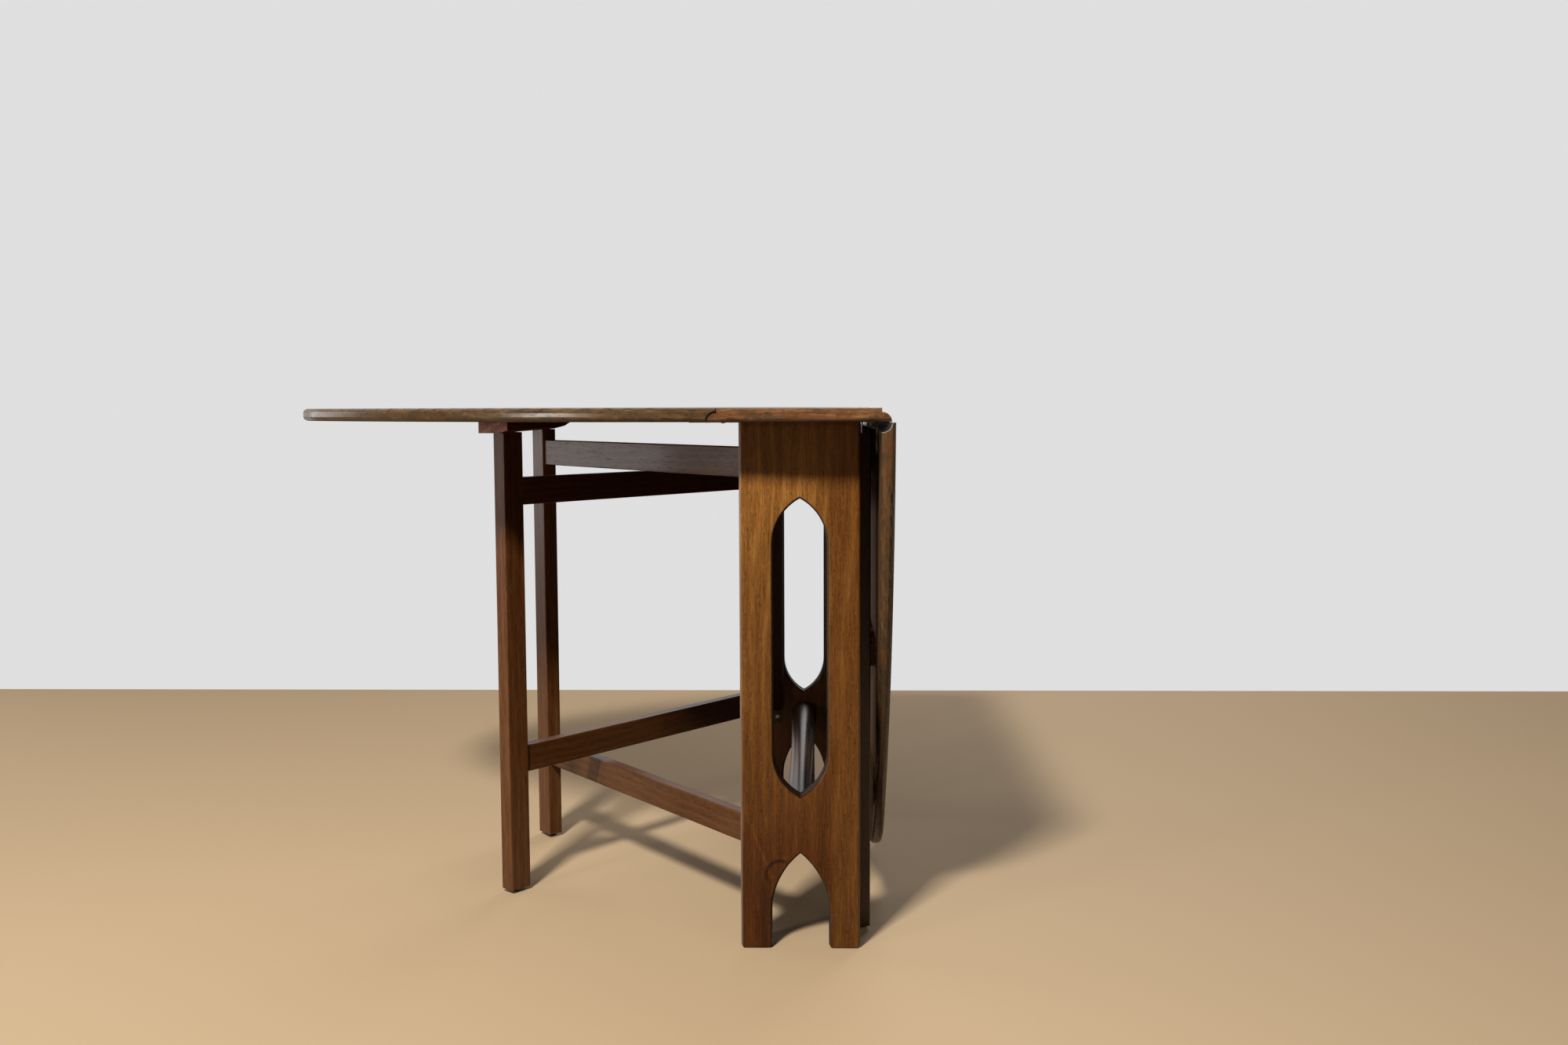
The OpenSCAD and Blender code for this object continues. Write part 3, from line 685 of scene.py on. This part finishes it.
class TableStudio(bpy.types.PropertyGroup):
    """Camera, light and floor"""
    lens: bpy.props.FloatProperty(
        name="Lens", description="Focal length on a 36 mm sensor", min=10, max=200, default=31.806)
    camera_place: bpy.props.FloatVectorProperty(
        name="Camera", description="Place of the camera", subtype="TRANSLATION", size=3,
        default=(0.0193, -2.1807, 0.7324))
    camera_down: bpy.props.FloatProperty(
        name="Tilt down", description="How far the camera looks down", subtype="ANGLE", default=0.084)
    camera_left: bpy.props.FloatProperty(
        name="Turn left", description="How far the camera is turned to the left", subtype="ANGLE",
        default=0.022)
    camera_roll: bpy.props.FloatProperty(
        name="Roll", description="How far the camera is rolled", subtype="ANGLE", default=-0.003)
    floor: bpy.props.FloatVectorProperty(
        name="Floor", description="Colour of the floor", subtype="COLOR", size=3, default=(0.51, 0.36, 0.21))
    wall: bpy.props.FloatVectorProperty(
        name="Backdrop", description="Colour of the backdrop", subtype="COLOR", size=3,
        default=(0.74, 0.74, 0.74))


def tones_of(group, kind):
    return [tuple(getattr(group, f"{kind}_{step}")) for step in ("dark", "middle", "light")]


def darkened(tones, factor):
    return [tuple(part * factor for part in tone) for tone in tones]


class TABLE_OT_top(bpy.types.Operator):
    """Finishes the fixed board and the two leaves with satin lacquer"""
    bl_idname = "table.top"
    bl_label = "Board and leaves"

    def execute(self, context):
        woods = context.scene.table_woods
        tones = tones_of(woods, "top")
        lacquer = {"ring": 0.014, "gloss": woods.gloss + 0.03, "pores": 0.85, "dash_scale": (140.0, 780.0)}
        cover("centre_board", wood("Lacquered board", tones, ALONG_X, heart=(0.02, -0.05),
                                   edge=(1.7, 1.5, 1.6), patch=RED_PATCH, **lacquer))
        cover("leaf_left", wood("Lacquered leaf", tones, ALONG_X, heart=(0.02, -0.05),
                                edge=(0.9, 1.0, 1.05), patch=BROWN_PATCH, **lacquer))
        cover("leaf_right", wood("Lacquered hanging leaf", tones, ALONG_Z, origin=(0.3, 0.1, 0),
                                 heart=(0.05, 0.16), edge=(0.9, 0.9, 0.9), patch=RED_PATCH, hanging=True,
                                 **lacquer))
        return {"FINISHED"}


class TABLE_OT_panels(bpy.types.Operator):
    """Finishes the two pierced end panels, with painted light and shade, darkest in their openings as painted
    shade
    """
    bl_idname = "table.panels"
    bl_label = "End panels"

    def execute(self, context):
        woods = context.scene.table_woods
        tones = tones_of(woods, "panel")
        for name, origin in (("front", (0.0, 0.0, 0.0)), ("back", (0.7, 0.4, 0.1))):
            cover(f"panel_{name}", wood(f"Stained {name} panel", tones, ALONG_Z, origin=origin, panel=name,
                                        heart=(0.05, -0.18), ring=0.009, gloss=woods.gloss, specular=0.25,
                                        pores=0.55, streak_scale=(26.0, 560.0), dash_scale=(150.0, 820.0),
                                        flecks=0.25))
        return {"FINISHED"}


class TABLE_OT_rails(bpy.types.Operator):
    """Finishes the stretcher, the long rails, the cross bearers and the battens"""
    bl_idname = "table.rails"
    bl_label = "Stretcher, rails and battens"

    def execute(self, context):
        woods = context.scene.table_woods
        tones = tones_of(woods, "gate")
        cover("stretcher", wood("Dark turned stretcher", darkened(tones, 0.42), ALONG_Y,
                                gloss=woods.gloss - 0.04, pores=0.1, streak=0.15, figure=0.1, relief=0.015,
                                specular=0.9))
        under = wood("Stained rail", tones, ALONG_Y, origin=(0.2, 0.5, 0.3), gloss=woods.gloss + 0.08)
        red = [(tone[0] * 1.5, tone[1] * 1.4, tone[2] * 2.2) for tone in tones]
        # The battens' ends are made much lighter as painted light, where the leaf shades them
        ramped = wood("Reddish batten", red, ALONG_Y, origin=(0.9, 0.2, 0.6), gloss=0.75, specular=0.0,
                      flecks=0.5, ends=(2.8, 4.6, 9.5))
        for side in ("left", "right"):
            cover(f"apron_{side}", under)
            cover(f"batten_{side}", ramped)
        crossing = wood("Stained bearer", tones, ALONG_X, gloss=woods.gloss + 0.08)
        for end in ("front", "back"):
            cover(f"bearer_{end}", crossing)
        return {"FINISHED"}


class TABLE_OT_gates(bpy.types.Operator):
    """Finishes the sticks of the four gates, each with its grain along its length. The right gates' posts and
    legs get a darker copy of the leg finish, as painted shade
    """
    bl_idname = "table.gates"
    bl_label = "Gates"

    def execute(self, context):
        woods = context.scene.table_woods
        tones = tones_of(woods, "gate")
        stick = {"heart": (0.3, 0.3), "flecks": 0.25, "gloss": woods.gloss + 0.04}
        lit = wood("Stained leg", tones, ALONG_Z, origin=(0.3, 0.2, 0.9), **stick)
        # The shaded copy is painted shade: the right gates' legs stand in the shadow of the panel and the
        # hanging leaf
        shaded = wood("Dark stained leg", darkened(tones, 0.45), ALONG_Z, origin=(0.8, 0.1, 0.4), **stick)
        for gate in GATES:
            post, leg = (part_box(f"gate_{gate}_{piece}") for piece in ("post", "leg"))
            run = (leg[0] + leg[1] - post[0] - post[1]) / 2
            angle = math.atan2(run.y, run.x)
            level = wood(f"Stained rail of {gate} gate".replace("_", " "), darkened(tones, 0.85),
                         (0.0, 0.0, -angle), origin=(angle, 0.1, 0.2), flecks=0.3, streak=0.4,
                         gloss=woods.gloss + 0.04)
            for piece in ("post", "leg"):
                cover(f"gate_{gate}_{piece}", shaded if gate.startswith("right") else lit)
            for piece in ("upper_rail", "lower_rail"):
                cover(f"gate_{gate}_{piece}", level)
        return {"FINISHED"}


class TABLE_OT_hinges(bpy.types.Operator):
    """Finishes the hinges and sets their screws"""
    bl_idname = "table.hinges"
    bl_label = "Hinges"

    def execute(self, context):
        hardware = context.scene.table_hardware
        brass = metal("Dull brass", colour(*hardware.brass), BRASS_TARNISH, gloss=0.3, scale=90.0)
        sizes = {"Head radius": hardware.hinge_screw, "Head rise": 0.00015, "Head depth": 0.0012,
                 "Slot width": 0.0008, "Slot depth": 0.0006}
        seed = 3
        for side in ("left", "right"):
            cover(f"hinge_pins_{side}", brass)
            for flap, body in (("short", "frame"), ("long", f"leaf_{side}")):
                cover(f"hinge_{flap}_flaps_{side}", brass)
                screws(f"hinge_screws_{flap}_{side}", body, flap_screws(side, flap), brass,
                       sizes, seed)
                seed += 1
        return {"FINISHED"}


class TABLE_OT_pivots(bpy.types.Operator):
    """Finishes the gate pivots and sets the screws of brackets, bearers and battens"""
    bl_idname = "table.pivots"
    bl_label = "Pivots and wood screws"

    def execute(self, context):
        hardware = context.scene.table_hardware
        steel = metal("Plain steel", colour(*hardware.steel), STEEL_TARNISH, gloss=0.34, scale=70.0)
        cover("upper_pivot_pins", steel)
        cover("lower_pivot_brackets", metal("Blackened steel", BLACK_STEEL, BLACK_TARNISH, gloss=0.45,
                                            scale=70.0))
        sizes = {"Head radius": hardware.hinge_screw, "Head rise": 0.0003, "Head depth": 0.0016,
                 "Slot width": 0.0009, "Slot depth": 0.0007}
        panel_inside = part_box("panel_front")[1].y
        places = [((turn * (x + across), turn * (panel_inside + BRACKET_T), top - BRACKET_DROP), (0, turn, 0))
                  for turn in (1, -1) for x, top in BRACKETS for across in (-BRACKET_SPREAD, BRACKET_SPREAD)]
        screws("bracket_screws", "frame", places, steel, sizes, seed=11)
        wide = {**sizes, "Head radius": hardware.wood_screw, "Head rise": 0.0, "Head depth": 0.002}
        places = [((x, turn * BEARER_SCREW_Y, BEARER_Z), (0, 0, -1))
                  for turn in (1, -1) for x in (-BEARER_SCREW_X, BEARER_SCREW_X)]
        screws("bearer_screws", "frame", places, steel, wide, seed=12)
        for side in ("left", "right"):
            low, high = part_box(f"batten_{side}")
            if side == "left":
                x = (low.x + high.x) / 2 - BATTEN_SCREW_SHIFT
                places = [((x, y, low.z), (0, 0, -1)) for y in BATTEN_SCREWS_Y]
            else:
                z = (low.z + high.z) / 2 - BATTEN_SCREW_SHIFT
                places = [((low.x, y, z), (-1, 0, 0)) for y in BATTEN_SCREWS_Y]
            screws(f"batten_screws_{side}", f"leaf_{side}", places, steel, wide, seed=13)
        return {"FINISHED"}


class TABLE_OT_glides(bpy.types.Operator):
    """Makes the dished pads under the gate legs and the end panels"""
    bl_idname = "table.glides"
    bl_label = "Pads"

    def execute(self, context):
        pad = moulded("Dark pad", colour(*context.scene.table_hardware.pad), PAD_DUST)
        for gate in GATES:
            low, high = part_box(f"gate_{gate}_glide")
            centre = ((low.x + high.x) / 2, (low.y + high.y) / 2)
            rim, top = (high.x - low.x) / 2, high.z
            foot = rim - top / 2
            # Out from the middle of the dished underside, up the flared side and back to the middle
            profile = [(0, 0.0005), (foot * 0.55, 0.0005), (foot * 0.64, 0.0), (foot - 0.0012, 0.0),
                       (foot - 0.0002, 0.0006), (foot + 0.0006, 0.0015), (rim - 0.0008, top - 0.002),
                       (rim, top - 0.0008), (rim, top - 0.0002), (rim - 0.0004, top), (0, top)]
            piece = mesh_piece(f"pad_{gate}", f"gate_{gate}", pad,
                               lambda shape: turned_shape(shape, profile, centre))
            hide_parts(f"gate_{gate}_glide")
        low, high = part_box("panel_glides")
        places = [(x, y) for x in (low.x + PANEL_PAD_R, high.x - PANEL_PAD_R)
                  for y in (low.y + PANEL_PAD_R, high.y - PANEL_PAD_R)]
        profile = [(0, 0.0002), (0.0036, 0.0002), (0.0042, 0.0), (0.0074, 0.0), (0.0086, 0.0004),
                   (PANEL_PAD_R, 0.0012), (PANEL_PAD_R, 0.0019), (0.0088, PANEL_PAD_H), (0, PANEL_PAD_H)]
        piece = mesh_piece("panel_pads", "frame", pad,
                           lambda shape: [turned_shape(shape, profile, place) for place in places])
        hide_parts("panel_glides")
        return {"FINISHED"}


class TABLE_OT_studio(bpy.types.Operator):
    """Sets the camera, the lamps, the pale floor and the backdrop"""
    bl_idname = "table.studio"
    bl_label = "Studio"

    def execute(self, context):
        scene = context.scene
        studio = scene.table_studio
        scene.view_settings.view_transform = "Standard"
        camera = bpy.data.cameras.new("Camera")
        camera.sensor_width = 36
        camera.lens = studio.lens
        scene.camera = add_object("Camera", camera)
        turn = (Matrix.Rotation(studio.camera_left, 4, "Z")
                @ Matrix.Rotation(math.pi / 2 - studio.camera_down, 4, "X")
                @ Matrix.Rotation(studio.camera_roll, 4, "Z"))
        scene.camera.matrix_world = Matrix.Translation(studio.camera_place) @ turn

        for name, place, aim, size, power in LAMPS:
            lamp = bpy.data.lights.new(name, "AREA")
            lamp.size = size
            lamp.energy = power
            holder = add_object(name, lamp)
            holder.location = place
            holder.rotation_euler = (Vector(aim) - Vector(place)).to_track_quat("-Z", "Y").to_euler()
            # The key lamp lights the lacquer without being mirrored in it
            holder.visible_glossy = name != "Key"

        # The backdrop shows to the camera, and in what mirrors the side behind the table
        surround = Surround("Studio")
        camera_ray, mirrored = surround.rays()
        backwards = surround.parts(surround.node("ShaderNodeTexCoord").outputs["Generated"])[1]
        seen = camera_ray.above(mirrored * surround.soft_step(backwards, 0.0, 0.6))
        scene.world = surround.set(Color=surround.mix(seen, SURROUNDING_LIGHT, colour(*studio.wall)),
                                   Strength=1.0)

        # The floor shows in its own colour and throws less of it back on the table
        finish = Finish("Floor", tuple(studio.floor))
        camera_ray, mirrored = finish.rays()
        bounced = colour(*(part * FLOOR_BOUNCE for part in studio.floor))
        finish.set(Base_Color=finish.mix(camera_ray.above(mirrored), bounced, colour(*studio.floor)),
                   Roughness=0.7, Specular_IOR_Level=0.2)
        data = bpy.data.meshes.new("Floor")
        data.from_pydata([(-FLOOR_SIDE, FLOOR_FRONT, 0), (FLOOR_SIDE, FLOOR_FRONT, 0),
                          (FLOOR_SIDE, FLOOR_BACK, 0), (-FLOOR_SIDE, FLOOR_BACK, 0)], [], [(0, 1, 2, 3)])
        data.materials.append(finish.material)
        floor = add_object("Floor", data)
        return {"FINISHED"}


class TABLE_PT_sidebar(bpy.types.Panel):
    """Lists the table's settings and its steps"""
    bl_idname = "TABLE_PT_sidebar"
    bl_label = "Gateleg table"
    bl_space_type = "VIEW_3D"
    bl_region_type = "UI"
    bl_category = "Table"

    def draw(self, context):
        for label, group in GROUPS.items():
            box = self.layout.box()
            box.label(text=label)
            settings = getattr(context.scene, group)
            for name in settings.__annotations__:
                box.prop(settings, name)
        for step in STEPS:
            self.layout.operator(step.bl_idname)


GROUPS = {"Woods": "table_woods", "Hardware": "table_hardware", "Studio": "table_studio"}
STEPS = (TABLE_OT_studio, TABLE_OT_top, TABLE_OT_panels, TABLE_OT_rails, TABLE_OT_gates, TABLE_OT_hinges,
         TABLE_OT_pivots, TABLE_OT_glides)
SETTINGS = (TableWoods, TableHardware, TableStudio)


def register():
    for item in (*SETTINGS, *STEPS, TABLE_PT_sidebar):
        bpy.utils.register_class(item)
    for group, settings in zip(GROUPS.values(), SETTINGS):
        setattr(bpy.types.Scene, group, bpy.props.PointerProperty(type=settings))


def unregister():
    for group in GROUPS.values():
        delattr(bpy.types.Scene, group)
    for item in reversed((*SETTINGS, *STEPS, TABLE_PT_sidebar)):
        bpy.utils.unregister_class(item)


def corners(box):
    return [list(corner) for corner in box]


def main():
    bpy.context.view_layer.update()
    register()
    for step in STEPS:
        group, name = step.bl_idname.split(".")
        getattr(getattr(bpy.ops, group), name)()


if __name__ == "__main__":
    main()
